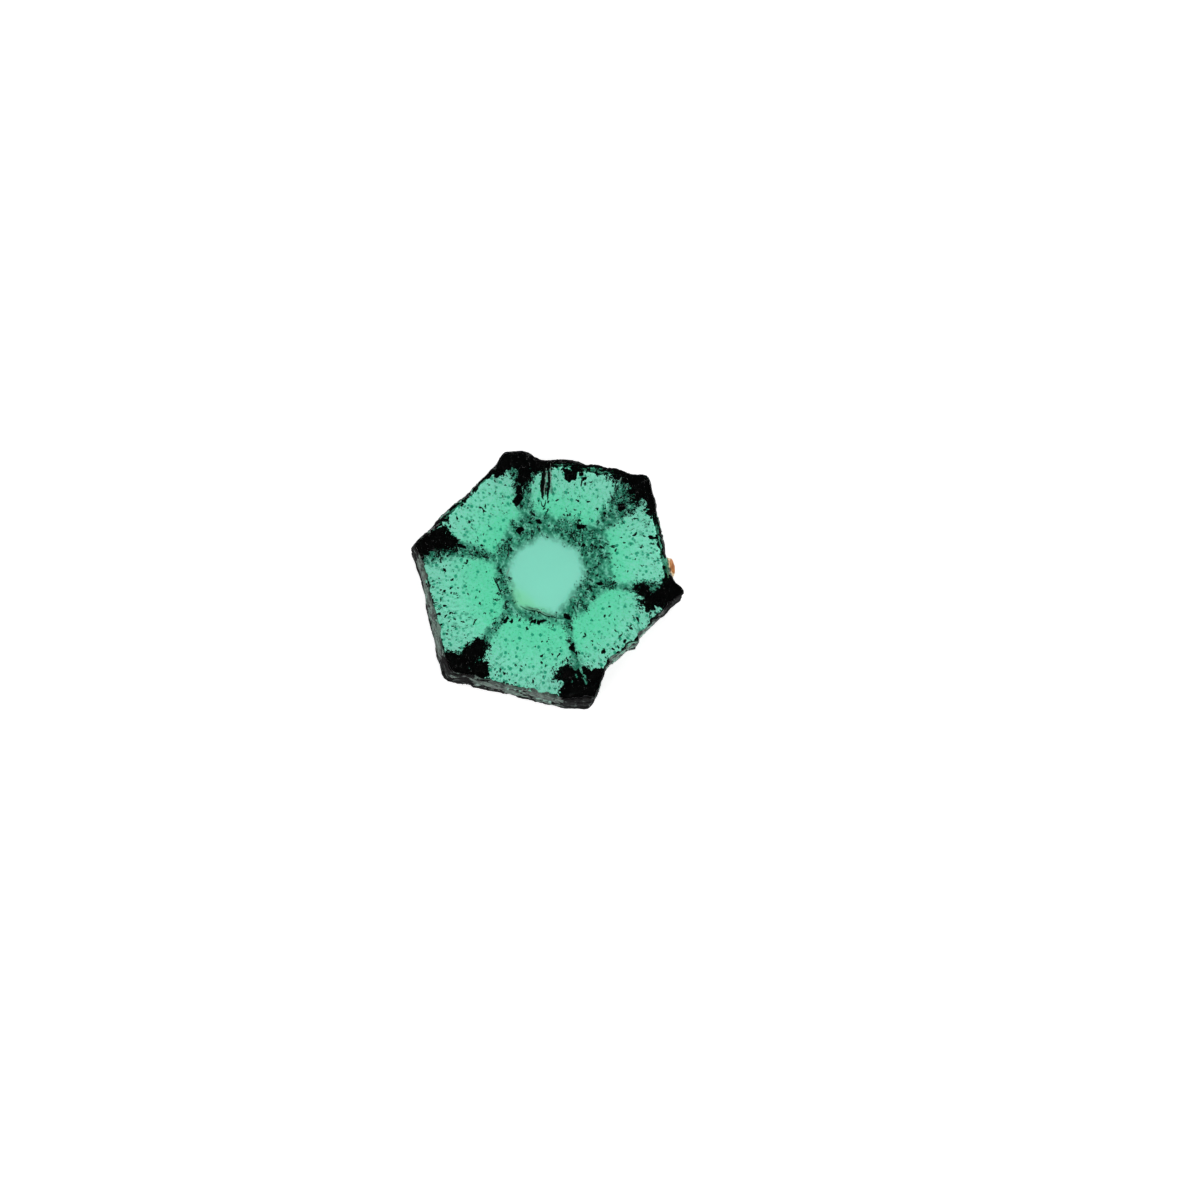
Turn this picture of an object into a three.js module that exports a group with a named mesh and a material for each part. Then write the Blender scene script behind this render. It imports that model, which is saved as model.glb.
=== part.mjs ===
// Trapiche emerald slice: one hexagonal beryl crystal, sawn and polished square to its
// c-axis into a small tablet. The core, the six growth sectors, the dark arms between them
// and the black shale in the corners all grew together, so the slice is a single solid:
// flat polished faces above and below, and the crystal's own rough prism wall all round.
//
// Millimetres and degrees. The slice lies on its lower polished face in Z = 0, and +Z is the
// c-axis. +X points almost at the corner with the small knob, and angles run from it
// towards +Y. The origin is under the middle of the slice's bounding box.
import * as THREE from 'three';
import { mergeVertices } from 'three/addons/utils/BufferGeometryUtils.js';

// Driving dimensions -----------------------------------------------------------------------
const THICKNESS = 1.05; // between the polished faces

// The six prism faces: which way each one looks, and how far it is from the crystal's axis.
const PRISM_FACES = [
  { looks: 24.5, away: 2.655 },
  { looks: 95.2, away: 2.61 },
  { looks: 148.2, away: 2.56 },
  { looks: 208, away: 2.71 },
  { looks: 270.3, away: 2.68 },
  { looks: 329, away: 2.375 },
];
const EDGE_SHARPNESS = 45; // how crisply two prism faces meet: the higher, the sharper

// Lumps that stand proud of the prism, and hollows that fall short of it.
const LUMPS_AND_HOLLOWS = [
  { at: 7, halfWidth: 0.16, proud: 0.23 }, // knob on the corner
  { at: 64, halfWidth: 0.22, proud: -0.08 },
  { at: 105, halfWidth: 0.22, proud: -0.07 },
  { at: 114.5, halfWidth: 0.16, proud: 0.07 },
  { at: 123, halfWidth: 0.16, proud: 0.06 },
  { at: 166, halfWidth: 0.4, proud: 0.04 },
  { at: 182, halfWidth: 0.12, proud: 0.07 },
  { at: 194, halfWidth: 0.4, proud: -0.03 },
  { at: 230, halfWidth: 0.6, proud: 0.07 },
  { at: 246, halfWidth: 0.15, proud: -0.04 },
  { at: 303, halfWidth: 0.27, proud: 0.31 }, // block that squares off a corner
  { at: 318, halfWidth: 0.25, proud: -0.05 },
  { at: 336, halfWidth: 0.08, proud: 0.09 },
];

// Grain of iron-stained rock still stuck to the wall beside the knob.
const GRAIN = { at: 17.5, height: 0.72, halfWidth: 0.19, halfHeight: 0.2, proud: 0.13 };

const STREAK_DEPTH = 0.04; // growth streaks along the wall, from lowest to highest
const STREAK_LENGTH = 0.6;
const STREAK_HEIGHT = 0.11;
const FACE_GRIT = 0.022; // roughness of the prism faces, from lowest to highest
const CORNER_GRIT = 0.06; // and of the shale that fills the corners
const CORNER_REACH = 0.45; // how far from a corner the shale runs along the wall
const GRIT_SIZE = 0.2;

const EDGE_BREAK = 0.025; // how far the polished faces stop short of the wall
const NICK_COUNT = 30; // small chips out of the two edges of the wall
const NICK_HALF_WIDTH = [0.05, 0.15];
const NICK_DEPTH = [0.02, 0.06];
const NICK_HEIGHT = 0.13;

const WALL_STATIONS = 240; // points round the wall
const WALL_LEVELS = 11; // rows of facets up the wall
const EMERALD = 0x3fae86;
// -------------------------------------------------------------------------------------------

const radians = THREE.MathUtils.degToRad;
const { lerp, smoothstep } = THREE.MathUtils;
const fraction = (t) => t - Math.floor(t);
const bell = (t) => Math.exp(-t * t);
const GIRTH = PRISM_FACES.reduce((sum, face) => sum + face.away, 0) * (2 / Math.sqrt(3));

// Distance round the wall from one angle, in radians, to another, in degrees.
function along(angle, degrees, radius) {
  const turn = angle - radians(degrees);
  return Math.abs(Math.atan2(Math.sin(turn), Math.cos(turn))) * radius;
}

// The crystal's own hexagon: the distance from the axis to the wall at this angle.
function prismRadius(angle) {
  let sum = 0;
  for (const { looks, away } of PRISM_FACES) {
    const towards = Math.cos(angle - radians(looks)) / away;
    if (towards > 0) sum += towards ** EDGE_SHARPNESS;
  }
  return sum ** (-1 / EDGE_SHARPNESS);
}

// The hexagon's corners, in degrees: half way between neighbouring prism faces.
const CORNERS = PRISM_FACES.map(({ looks }, i) => {
  const next = PRISM_FACES[(i + 1) % PRISM_FACES.length].looks;
  return looks + ((next - looks + 360) % 360) / 2;
});

// Repeatable noise from -0.5 to 0.5 on the unrolled wall, in cells of the given size.
function wallNoise(angle, height, cellLength, cellHeight, seed) {
  const cells = Math.round(GIRTH / cellLength);
  const u = fraction(angle / (2 * Math.PI)) * cells;
  const v = height / cellHeight;
  const knot = (i, j) =>
    fraction(Math.sin((i % cells) * 127.1 + j * 311.7 + seed * 74.7) * 43758.5453) - 0.5;
  const i = Math.floor(u);
  const j = Math.floor(v);
  const across = smoothstep(u - i, 0, 1);
  const lower = lerp(knot(i, j), knot(i + 1, j), across);
  const upper = lerp(knot(i, j + 1), knot(i + 1, j + 1), across);
  return lerp(lower, upper, smoothstep(v - j, 0, 1));
}

// Chips scattered round the upper and lower edges, no two alike.
const NICKS = Array.from({ length: NICK_COUNT }, (_, i) => ({
  at: 360 * fraction(i * 0.618),
  onUpperEdge: i % 2 === 0,
  halfWidth: lerp(...NICK_HALF_WIDTH, fraction(i * 0.41)),
  depth: lerp(...NICK_DEPTH, fraction(i * 0.73)),
}));

function nickDepth(angle, height, radius) {
  let depth = 0;
  for (const nick of NICKS) {
    const fromEdge = nick.onUpperEdge ? THICKNESS - height : height;
    const aside = along(angle, nick.at, radius) / nick.halfWidth;
    depth += nick.depth * bell(aside) * bell(fromEdge / NICK_HEIGHT);
  }
  return depth;
}

function grainHeight(angle, height, radius) {
  const aside = along(angle, GRAIN.at, radius) / GRAIN.halfWidth;
  const above = (height - GRAIN.height) / GRAIN.halfHeight;
  return GRAIN.proud * Math.sqrt(Math.max(0, 1 - aside ** 2 - above ** 2));
}

// The distance from the axis to the rough wall, at an angle and a height.
function wallRadius(angle, height) {
  const prism = prismRadius(angle);
  let radius = prism;
  for (const { at, halfWidth, proud } of LUMPS_AND_HOLLOWS) {
    radius += proud * bell(along(angle, at, prism) / halfWidth);
  }
  const toCorner = Math.min(...CORNERS.map((corner) => along(angle, corner, prism)));
  const shale = bell(toCorner / CORNER_REACH);
  radius += STREAK_DEPTH * wallNoise(angle, height, STREAK_LENGTH, STREAK_HEIGHT, 1);
  radius += lerp(FACE_GRIT, CORNER_GRIT, shale) * wallNoise(angle, height, GRIT_SIZE, GRIT_SIZE, 2);
  const toEdge = Math.min(height, THICKNESS - height);
  radius -= EDGE_BREAK * bell(toEdge / EDGE_BREAK);
  radius -= nickDepth(angle, height, prism);
  return radius + grainHeight(angle, height, prism);
}

// A cylinder of radius 1, pushed out to the wall. Its rows of facets crowd towards the edges.
function sliceGeometry() {
  const cylinder = new THREE.CylinderGeometry(1, 1, 1, WALL_STATIONS, WALL_LEVELS);
  cylinder.deleteAttribute('normal');
  cylinder.deleteAttribute('uv');
  cylinder.rotateX(Math.PI / 2);
  const geometry = mergeVertices(cylinder);
  const points = geometry.getAttribute('position');
  for (let i = 0; i < points.count; i++) {
    const angle = Math.atan2(points.getY(i), points.getX(i));
    const height = (THICKNESS / 2) * (1 + Math.sin(Math.PI * points.getZ(i)));
    const onWall = Math.hypot(points.getX(i), points.getY(i)) > 0.5;
    const radius = onWall ? wallRadius(angle, height) : 0;
    points.setXYZ(i, radius * Math.cos(angle), radius * Math.sin(angle), height);
  }
  geometry.center();
  geometry.translate(0, 0, THICKNESS / 2);
  geometry.computeVertexNormals();
  return geometry;
}

const slice = new THREE.Mesh(
  sliceGeometry(),
  new THREE.MeshStandardMaterial({ color: EMERALD, roughness: 0.25, flatShading: true }),
);
slice.name = 'emerald_slice';

const trapicheEmerald = new THREE.Group();
trapicheEmerald.add(slice);

export default trapicheEmerald;
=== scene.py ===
"""Looks of the trapiche emerald slice: a clear green body with a pale core, dark dusty arms,
black shale in the corners and specks inside it, and a rough, partly crusted wall.

Sizes are millimetres in the part's own frame, turned into metres when a mesh is made.
"""

import math
from functools import reduce

import bpy
import numpy as np
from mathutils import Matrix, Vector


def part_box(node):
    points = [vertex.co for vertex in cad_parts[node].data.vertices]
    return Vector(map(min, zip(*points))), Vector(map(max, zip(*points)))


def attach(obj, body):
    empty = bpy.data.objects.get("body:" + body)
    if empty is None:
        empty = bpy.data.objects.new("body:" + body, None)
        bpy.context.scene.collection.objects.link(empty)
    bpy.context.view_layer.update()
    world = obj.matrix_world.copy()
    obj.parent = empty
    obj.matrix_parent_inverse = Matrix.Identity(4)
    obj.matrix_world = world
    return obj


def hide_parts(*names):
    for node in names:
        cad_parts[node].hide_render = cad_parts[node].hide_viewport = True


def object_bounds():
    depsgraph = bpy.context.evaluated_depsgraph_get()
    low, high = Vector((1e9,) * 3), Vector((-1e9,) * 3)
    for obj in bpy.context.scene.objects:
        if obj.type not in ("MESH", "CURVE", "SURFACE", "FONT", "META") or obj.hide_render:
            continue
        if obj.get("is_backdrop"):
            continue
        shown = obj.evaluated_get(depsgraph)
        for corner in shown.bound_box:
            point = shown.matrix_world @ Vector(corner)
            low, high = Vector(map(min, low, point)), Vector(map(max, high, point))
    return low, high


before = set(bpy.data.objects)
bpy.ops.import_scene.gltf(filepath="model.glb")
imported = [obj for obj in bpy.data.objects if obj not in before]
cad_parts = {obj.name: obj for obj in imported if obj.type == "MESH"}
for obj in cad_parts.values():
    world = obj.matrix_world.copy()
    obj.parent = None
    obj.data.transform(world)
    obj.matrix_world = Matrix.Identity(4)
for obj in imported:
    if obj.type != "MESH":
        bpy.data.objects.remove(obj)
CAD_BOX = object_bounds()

import openvdb
from mathutils import Quaternion, Vector
from mathutils.bvhtree import BVHTree

MM = 0.001
SLICE = "emerald_slice"
LOW, HIGH = (np.array(corner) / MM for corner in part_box(SLICE))
THICKNESS = HIGH[2] - LOW[2]

# ---------------------------------------------------------------- layout of the crystal
# Corners of the clear core, and of the dusty zone round it.
CORE = [(0.82, 0.20), (0.51, 0.77), (-0.31, 0.89), (-0.78, 0.41), (-0.89, -0.08), (-0.49, -0.80),
        (0.40, -0.80)]
RING = [(1.45, 0.22), (1.01, 1.37), (-0.69, 1.33), (-1.04, 0.98), (-1.27, 0.08), (-0.68, -1.07),
        (0.69, -0.97)]

# Arms, from the dusty zone to the corner of the crystal: points and half widths.
ARMS = [
    [(1.05, 0.04, 0.1), (1.36, 0.16, 0.09), (1.96, 0.23, 0.08), (2.3, 0.26, 0.15), (2.91, 0.3, 0.24)],
    [(0.85, 1.27, 0.12), (1.22, 1.91, 0.24), (1.44, 2.4, 0.34), (1.65, 2.62, 0.3)],
    [(-0.73, 1.17, 0.13), (-0.89, 1.56, 0.17), (-1.03, 1.92, 0.17), (-1.15, 2.47, 0.4)],
    [(-1.13, 0.09, 0.08), (-1.8, 0.14, 0.13), (-2.25, 0.1, 0.22), (-2.8, -0.05, 0.34)],
    [(-0.63, -0.93, 0.06), (-0.92, -1.53, 0.07), (-1.07, -1.89, 0.11), (-1.45, -2.58, 0.3)],
    [(0.67, -0.89, 0.04), (0.9, -1.44, 0.04), (1.03, -1.69, 0.1), (1.35, -2.43, 0.42)],
]

# How far the arms and the shale lean, in mm for each mm down: the slice was sawn a few degrees
# off the crystal's axis. The layout is that on the level of the slice's middle.
LEAN = (0.041, 0.138)

# Solid black shale, through the whole slice: middle, half length, half width and direction.
SHALE = [
    (2.71, 0.19, 0.4, 0.17, 104), (2.91, 0.33, 0.25, 0.16, 0), (2.41, 0.02, 0.17, 0.1, 40),
    (2.19, 0.19, 0.09, 0.07, 0),
    (1.55, 2.53, 0.28, 0.2, 120), (1.85, 2.23, 0.2, 0.06, 115), (1.27, 2.63, 0.25, 0.07, 0),
    (-1.07, 2.47, 0.54, 0.2, 4), (-1.02, 2.13, 0.17, 0.09, 85), (-1.51, 2.23, 0.2, 0.1, 50),
    (-2.65, 0.13, 0.36, 0.13, 18), (-2.91, -0.05, 0.22, 0.15, 90), (-2.57, 0.33, 0.16, 0.06, 60),
    (-2.29, 0.21, 0.09, 0.05, 20),
    (-1.37, -2.45, 0.46, 0.2, 2), (-1.21, -2.09, 0.25, 0.14, 65), (-1.05, -2.43, 0.22, 0.14, 30),
    (-1.67, -2.47, 0.22, 0.14, 120),
    (1.27, -2.42, 0.4, 0.34, 60), (0.88, -2.06, 0.15, 0.09, 60), (1.49, -1.94, 0.3, 0.1, 5),
    (1.07, -2.26, 0.24, 0.15, 90),
]

# Small bodies of shale: middle, height up the slice, half length, half width and direction.
SMALL_SHALE = [
    (-0.02, 2.32, 0.8, 0.13, 0.1, 95), (0.31, 2.35, 0.7, 0.07, 0.05, 100),
    (0.15, 2.52, 0.6, 0.2, 0.05, 5), (0.49, 1.28, 0.85, 0.09, 0.04, 10),
    (-0.84, 0.87, 0.8, 0.09, 0.06, 60), (-0.01, -1.07, 0.85, 0.11, 0.045, 5),
    (0.66, -0.8, 0.8, 0.1, 0.04, 150), (-0.66, -1.19, 0.85, 0.09, 0.035, 75),
    (0.14, -1.00, 0.8, 0.07, 0.03, 30), (-0.98, 1.5, 0.7, 0.12, 0.08, 80),
    (-1.05, 1.75, 0.6, 0.1, 0.07, 110), (1.3, 1.95, 0.6, 0.1, 0.07, 50),
    (2.02, 0.2, 0.8, 0.08, 0.04, 10), (-2.02, 0.18, 0.7, 0.12, 0.05, 10),
    (2.06, 1.44, 0.8, 0.07, 0.045, 20), (2.18, 1.46, 0.7, 0.12, 0.055, 25),
    (1.6, -1.35, 0.8, 0.05, 0.04, 70),
    (0.9, -1.42, 0.8, 0.06, 0.05, 70), (-0.45, 1.16, 0.8, 0.06, 0.035, 0),
    (0.96, -0.07, 0.8, 0.07, 0.035, 20), (1.2, 0.12, 0.8, 0.08, 0.025, 10),
]

# Needles of clear crystal that reach into the shale: ends and half width.
NEEDLES = [
    ((0.98, -1.75), (1.15, -2.05), 0.06), ((1.19, -1.85), (1.39, -2.13), 0.055),
    ((1.07, -1.81), (1.37, -1.65), 0.05), ((1.13, -1.95), (1.07, -2.19), 0.035),
    ((-1.24, -2.4), (-1.18, -2.47), 0.03), ((2.35, 0.31), (2.47, 0.39), 0.05),
    ((2.47, -0.05), (2.57, -0.15), 0.04), ((-0.93, 2.33), (-0.85, 2.21), 0.02),
    ((1.41, 2.63), (1.35, 2.41), 0.02), ((-2.41, 0.13), (-2.51, 0.05), 0.03),
]

# Single larger flecks: middle, height up the slice, half length, half width, direction.
FLECKS = [
    # Beside the left side.
    (-1.97, -1.41, 0.85, 0.055, 0.024, 58), (-1.91, -1.34, 0.85, 0.05, 0.024, 45),
    (-1.84, -1.33, 0.85, 0.05, 0.022, 150), (-1.77, -1.45, 0.85, 0.03, 0.028, 0),
    (-2.05, -1.21, 0.8, 0.05, 0.04, 30), (-2.13, -1.29, 0.8, 0.07, 0.015, 40),
    (-2.14, -0.88, 0.85, 0.045, 0.034, 100), (-2.03, -0.6, 0.85, 0.06, 0.022, 38),
    (-2.24, -0.42, 0.85, 0.05, 0.032, 100), (-2.01, -0.78, 0.85, 0.04, 0.02, 60),
    (-1.98, -0.89, 0.85, 0.04, 0.022, 80), (-1.85, -0.74, 0.85, 0.04, 0.018, 20),
    (-1.57, -1.46, 0.85, 0.034, 0.026, 0), (-1.32, -1.4, 0.85, 0.07, 0.02, 75),
    (-1.16, -1.16, 0.85, 0.04, 0.02, 20), (-1.81, -0.1, 0.8, 0.05, 0.03, 100),
    (-1.6, -0.82, 0.85, 0.034, 0.018, 0), (-1.37, -0.71, 0.85, 0.03, 0.016, 100),
    (-1.77, -1.61, 0.85, 0.04, 0.015, 20), (-2.17, -1.1, 0.8, 0.05, 0.014, 90),
    # The fork and the round dot of the next sector.
    (-1.72, 1.12, 0.85, 0.09, 0.026, 140), (-1.68, 1.2, 0.85, 0.08, 0.024, 95),
    (-1.78, 1.15, 0.85, 0.06, 0.024, 170), (-1.95, 0.78, 0.75, 0.04, 0.04, 60),
    # The sector with the feather crack, and the drips at its wall.
    (-0.2, 2.52, 0.7, 0.09, 0.035, 100), (0.01, 2.56, 0.7, 0.07, 0.03, 60),
    (0.13, 2.53, 0.7, 0.07, 0.05, 100), (0.2, 2.46, 0.75, 0.07, 0.05, 104),
    (0.28, 2.27, 0.8, 0.13, 0.026, 104), (0.57, 2.55, 0.75, 0.12, 0.03, 104),
    (0.78, 2.6, 0.7, 0.08, 0.05, 104), (0.96, 2.5, 0.8, 0.07, 0.03, 104),
    (0.27, 1.84, 0.85, 0.032, 0.028, 0), (0.51, 1.88, 0.85, 0.034, 0.03, 0),
    (0.76, 1.76, 0.85, 0.03, 0.025, 0), (0.27, 1.62, 0.85, 0.026, 0.02, 0),
    (-0.17, 1.74, 0.85, 0.05, 0.022, 30), (-0.32, 1.45, 0.85, 0.05, 0.025, 60),
    (0.06, 1.45, 0.85, 0.03, 0.02, 0), (0.48, 2.32, 0.8, 0.04, 0.018, 40),
    # The sector between the broad arm and the knob.
    (1.62, 1.75, 0.85, 0.075, 0.022, 14), (1.37, 1.62, 0.85, 0.05, 0.02, 150),
    (1.69, 1.39, 0.85, 0.04, 0.024, 40), (1.5, 1.16, 0.85, 0.036, 0.022, 20),
    (1.91, 1.17, 0.85, 0.04, 0.03, 20), (2.11, 1.29, 0.85, 0.05, 0.018, 20),
    (1.9, 1.42, 0.8, 0.03, 0.02, 0), (1.55, 1.85, 0.8, 0.06, 0.02, 14),
    (1.87, 1.95, 0.8, 0.04, 0.024, 60), (1.86, 2.18, 0.8, 0.08, 0.025, 140),
    (1.27, 1.01, 0.7, 0.09, 0.022, 20), (1.35, 0.95, 0.7, 0.06, 0.025, 80),
    # Below the knob.
    (1.89, -0.91, 0.7, 0.09, 0.02, 50), (1.77, -0.83, 0.6, 0.06, 0.02, 150),
    (2.01, -1.01, 0.7, 0.06, 0.028, 90), (1.64, -1.35, 0.8, 0.05, 0.034, 70),
    (2.07, -0.66, 0.8, 0.05, 0.034, 120), (2.19, -0.46, 0.7, 0.08, 0.024, 120),
    (0.9, -1.42, 0.85, 0.07, 0.055, 70), (1.52, -0.33, 0.7, 0.04, 0.028, 20),
    # The lowest sector.
    (0.28, -1.79, 0.85, 0.036, 0.028, 0), (0.32, -1.93, 0.85, 0.038, 0.03, 0),
    (-0.01, -2.07, 0.85, 0.028, 0.018, 104), (-0.43, -2.36, 0.85, 0.045, 0.028, 104),
    (-0.53, -2.3, 0.85, 0.045, 0.02, 110), (0.51, -1.69, 0.85, 0.032, 0.024, 0),
    (-0.22, -2.13, 0.85, 0.032, 0.018, 104), (-0.09, -2.12, 0.85, 0.03, 0.02, 0),
    (0.22, -1.46, 0.85, 0.03, 0.024, 104), (-0.61, -2.44, 0.85, 0.032, 0.018, 104),
    # Round the core.
    (-0.48, 1.18, 0.8, 0.07, 0.03, 0), (0.38, -1.06, 0.8, 0.04, 0.02, 80),
    (-0.37, -1.11, 0.8, 0.05, 0.02, 70), (0.66, 0.66, 0.8, 0.05, 0.022, 100),
    (0.79, 0.5, 0.8, 0.05, 0.022, 80), (0.62, 0.86, 0.8, 0.06, 0.022, 20),
    (0.88, 0.32, 0.8, 0.05, 0.024, 140), (1.08, 0.3, 0.8, 0.05, 0.022, 60),
    (0.4, 0.98, 0.8, 0.06, 0.022, 150), (0.2, 1.08, 0.8, 0.05, 0.022, 20),
    (-0.62, 1.1, 0.8, 0.07, 0.03, 20), (-0.96, 0.62, 0.8, 0.05, 0.022, 60),
    (-1.02, -0.14, 0.8, 0.06, 0.022, 110), (-0.74, -0.86, 0.8, 0.06, 0.024, 130),
    (0.84, -0.35, 0.8, 0.05, 0.024, 50), (0.72, -0.52, 0.8, 0.05, 0.022, 110),
]

# Healed cracks, each a thin upright sheet: points, greatest half width and depth.
CRACKS = [
    ([(-0.62, 2.46), (-0.58, 2.2), (-0.56, 1.99), (-0.52, 1.82), (-0.47, 1.66)], 0.06, 0.22),
    ([(-0.52, 2.44), (-0.45, 2.18), (-0.42, 2.00), (-0.4, 1.82), (-0.36, 1.67)], 0.042, 0.2),
    ([(-0.48, 2.03), (-0.44, 1.77)], 0.018, 0.1),
    ([(-0.51, 1.63), (-0.46, 1.53), (-0.42, 1.5), (-0.4, 1.59), (-0.41, 1.68)], 0.016, 0.05),
    ([(-0.35, 2.04), (-0.3, 1.82)], 0.011, 0.06),
    ([(-0.48, 2.55), (-0.46, 2.4)], 0.018, 0.06),
    ([(-1.15, -0.31), (-1.02, -0.46), (-0.91, -0.62)], 0.022, 0.08),
    ([(-0.44, -0.8), (-0.25, -0.85), (-0.05, -0.82), (0.18, -0.88), (0.49, -0.86), (0.66, -0.8)],
     0.013, 0.08),
    ([(-0.28, -0.78), (-0.12, -0.79), (0.02, -0.77)], 0.006, 0.05),
    ([(-1.00, 0.49), (-0.93, 0.29), (-0.97, 0.13)], 0.009, 0.1),
    ([(-1.08, 0.5), (-1.02, 0.27)], 0.007, 0.1),
    ([(0.62, -0.45), (0.8, -0.62), (0.86, -0.8)], 0.007, 0.06),
]

# Open cracks whose shine is painted as a pale colour: points, greatest half width and depth.
PALE_CRACKS = [
    ([(-0.56, 2.39), (-0.51, 2.17), (-0.5, 1.98), (-0.46, 1.74)], 0.014, 0.08),
    ([(-0.5, 2.52), (-0.41, 2.19), (-0.33, 1.82)], 0.011, 0.06),
    ([(-0.3, -0.81), (-0.08, -0.78), (0.14, -0.83), (0.4, -0.83)], 0.009, 0.05),
    ([(-0.96, 0.38), (-0.93, 0.24)], 0.016, 0.05),
    ([(-1.04, 0.46), (-0.98, 0.33)], 0.009, 0.05),
    ([(-0.84, -0.02), (-0.88, -0.2)], 0.01, 0.05),
    ([(0.62, -0.36), (0.68, -0.3), (0.76, -0.34)], 0.01, 0.05),
    ([(1.08, 2.48), (1.13, 2.62)], 0.014, 0.06),
]

# Rock crust on the wall, by the direction of the side: share that it hides along the lower edge,
# between the edges and along the upper one.
CRUST = {
    24.5: (0.02, 0.02, 0.60),
    95.2: (0.02, 0.26, 0.95),
    148.2: (0.02, 0.02, 0.70),
    208: (1.00, 0.07, 0.03),
    270.3: (1.00, 0.14, 0.04),
    329: (0.45, 0.15, 0.30),
}

# Share of each side under flecks of dull grey skin.
SKIN = {24.5: 0.10, 95.2: 0.10, 148.2: 0.10, 208: 0.80, 270.3: 0.75, 329: 0.45}

# How much black shale there tends to be along the wall, by the direction of the side: a larger
# value leaves less of it.
RIM = {24.5: 0.19, 95.2: 0.17, 148.2: 0.19, 208: 0.18, 270.3: 0.18, 329: 0.13}

# The rusty grain on the wall: its direction in degrees, its height up the slice, how far it
# reaches out, sideways and up, and how far into the wall.
RUST_AT = 17.5
RUST_HEIGHT = 0.80
RUST_HALVES = (0.16, 0.24, 0.23)
RUST_BACK = 0.03


# ---------------------------------------------------------------- numbers and noise
def fade(t):
    """Goes smoothly from 0 at 0 to 1 at 1."""
    t = np.clip(t, 0, 1)
    return t * t * (3 - 2 * t)


def band(shape, cell, rng, wrap=None):
    """Smooth noise from -1 to 1 on a grid. cell is its grain size in grid steps."""
    knots = [int(np.ceil(n / c)) + 2 for n, c in zip(shape, cell)]
    values = rng.uniform(-1, 1, knots).astype(np.float32)
    if wrap is not None:
        whole = max(2, round(shape[wrap] / cell[wrap]))
        cell = [shape[wrap] / whole if i == wrap else c for i, c in enumerate(cell)]
        values = np.take(values, np.arange(whole + 2) % whole, axis=wrap)
    for axis, (n, c) in enumerate(zip(shape, cell)):
        at = np.arange(n) / c
        knot = np.floor(at).astype(int)
        share = fade(at - knot).astype(np.float32)
        share = share.reshape([-1 if i == axis else 1 for i in range(len(shape))])
        low = np.take(values, knot, axis=axis)
        high = np.take(values, knot + 1, axis=axis)
        values = low + (high - low) * share
    return values


def bands(shape, cell, octaves, rng, wrap=None, falloff=0.6):
    """Several bands of noise, each half as coarse as the last, with a spread of about 1."""
    total = np.zeros(shape, np.float32)
    power = 0
    for octave in range(octaves):
        scale = falloff**octave
        total += scale * band(shape, [max(1, c / 2**octave) for c in cell], rng, wrap)
        power += scale**2
    return total / (0.36 * math.sqrt(power))


def to_layout(x, y, z):
    """Where a point of the leaning arms is in the layout."""
    down = z - THICKNESS / 2
    return x + LEAN[0] * down, y + LEAN[1] * down


def segment_distance(x, y, a, b):
    """Distance to a straight stretch, and how far along it the nearest point is."""
    ax, ay = a[:2]
    dx, dy = b[0] - ax, b[1] - ay
    along = np.clip(((x - ax) * dx + (y - ay) * dy) / (dx * dx + dy * dy), 0, 1)
    return np.hypot(x - ax - along * dx, y - ay - along * dy), along


def edges_of(corners):
    """Outward normal and distance from the origin of each edge of a convex outline."""
    found = []
    for a, b in zip(corners, corners[1:] + corners[:1]):
        length = math.dist(a, b)
        normal = ((b[1] - a[1]) / length, (a[0] - b[0]) / length)
        found.append((normal, normal[0] * a[0] + normal[1] * a[1]))
    return found


CORE_EDGES = edges_of(CORE)
RING_EDGES = edges_of(RING)


def outside(edges, x, y):
    """Distance beyond a convex outline: negative inside it."""
    return np.max([n[0] * x + n[1] * y - d for n, d in edges], axis=0)


def arm_distance(x, y):
    """Distance beyond the edge of the nearest arm: negative inside it."""
    nearest = np.full(np.shape(x), 9.0)
    for arm in ARMS:
        for a, b in zip(arm, arm[1:]):
            away, along = segment_distance(x, y, a, b)
            nearest = np.minimum(nearest, away - (a[2] + (b[2] - a[2]) * along))
    return nearest


# ---------------------------------------------------------------- the wall, read from the CAD
STATIONS, LEVELS = 1200, 46
STATION_ANGLES = np.arange(STATIONS) * 2 * math.pi / STATIONS
# Levels crowd towards the two edges, where the chips are.
LEVEL_HEIGHTS = THICKNESS * (0.5 - 0.5 * np.cos(np.pi * np.arange(LEVELS) / (LEVELS - 1)))
LEVEL_HEIGHTS = 0.6 * LEVEL_HEIGHTS + 0.4 * THICKNESS * np.arange(LEVELS) / (LEVELS - 1)


def read_wall():
    """Distance from the axis to the CAD's wall, at each station round it and each level."""
    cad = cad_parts[SLICE].data
    points = [v.co / MM for v in cad.vertices]
    tree = BVHTree.FromPolygons(points, [tuple(p.vertices) for p in cad.polygons])
    radius = np.zeros((STATIONS, LEVELS))
    for i, angle in enumerate(STATION_ANGLES):
        outwards = Vector((math.cos(angle), math.sin(angle), 0))
        for j, height in enumerate(LEVEL_HEIGHTS):
            inside = min(max(height, 0.002), THICKNESS - 0.002)
            hit = tree.ray_cast(Vector((0, 0, inside)), outwards)[0]
            radius[i, j] = math.hypot(hit.x, hit.y)
    return radius


def at_angle(values, x, y):
    """Reads a value kept for each station at the angle of each point."""
    turn = (np.arctan2(y, x) / (2 * math.pi)) % 1 * STATIONS
    low = np.floor(turn).astype(int)
    share = turn - low
    return values[low % STATIONS] * (1 - share) + values[(low + 1) % STATIONS] * share


def side_share(shares, angles):
    """Values given for each side of the prism, read round the wall and blended at corners."""
    weight = np.exp(60 * np.cos(angles[:, None] - np.radians(list(shares))))
    return weight / weight.sum(1, keepdims=True) @ np.array(list(shares.values()))


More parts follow.
